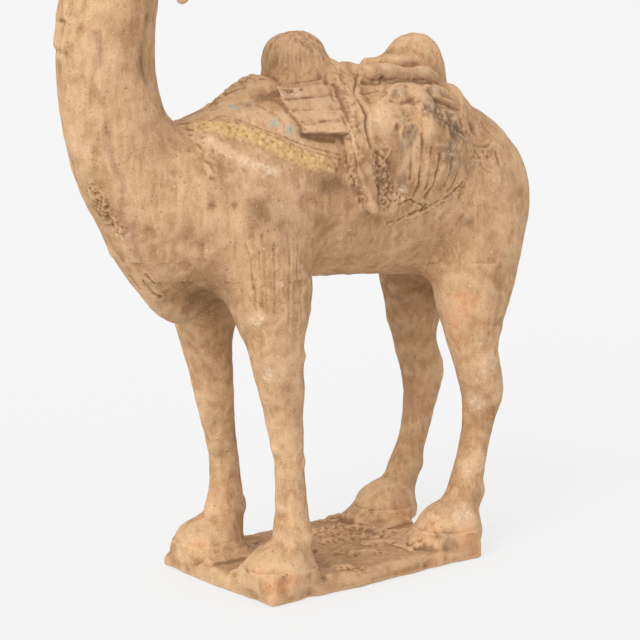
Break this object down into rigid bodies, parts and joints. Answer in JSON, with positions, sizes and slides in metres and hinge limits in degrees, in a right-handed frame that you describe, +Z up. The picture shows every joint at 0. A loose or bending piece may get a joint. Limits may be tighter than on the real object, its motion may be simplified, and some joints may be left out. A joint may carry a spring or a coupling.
{
  "type": "pottery camel figure",
  "caption": "Buff earthenware figure of a laden two-humped camel standing on a thin plinth, its head turned to its left, with traces of paint and soil.",
  "frame": {"origin": "middle of the plinth's flat underside", "axes": "+Z up; the camel faces -X, and its left side, to which the head turns, faces -Y"},
  "size_m": [0.4379, 0.1679, 0.5119],
  "materials": {
    "earthenware": "unglazed low-fired buff clay, dry and matt, with cream slip, worn yellow, blue-green and orange pigment, and brown burial soil"
  },
  "bodies": {
    "root": {"pottery_camel": "earthenware"}
  },
  "joints": []
}
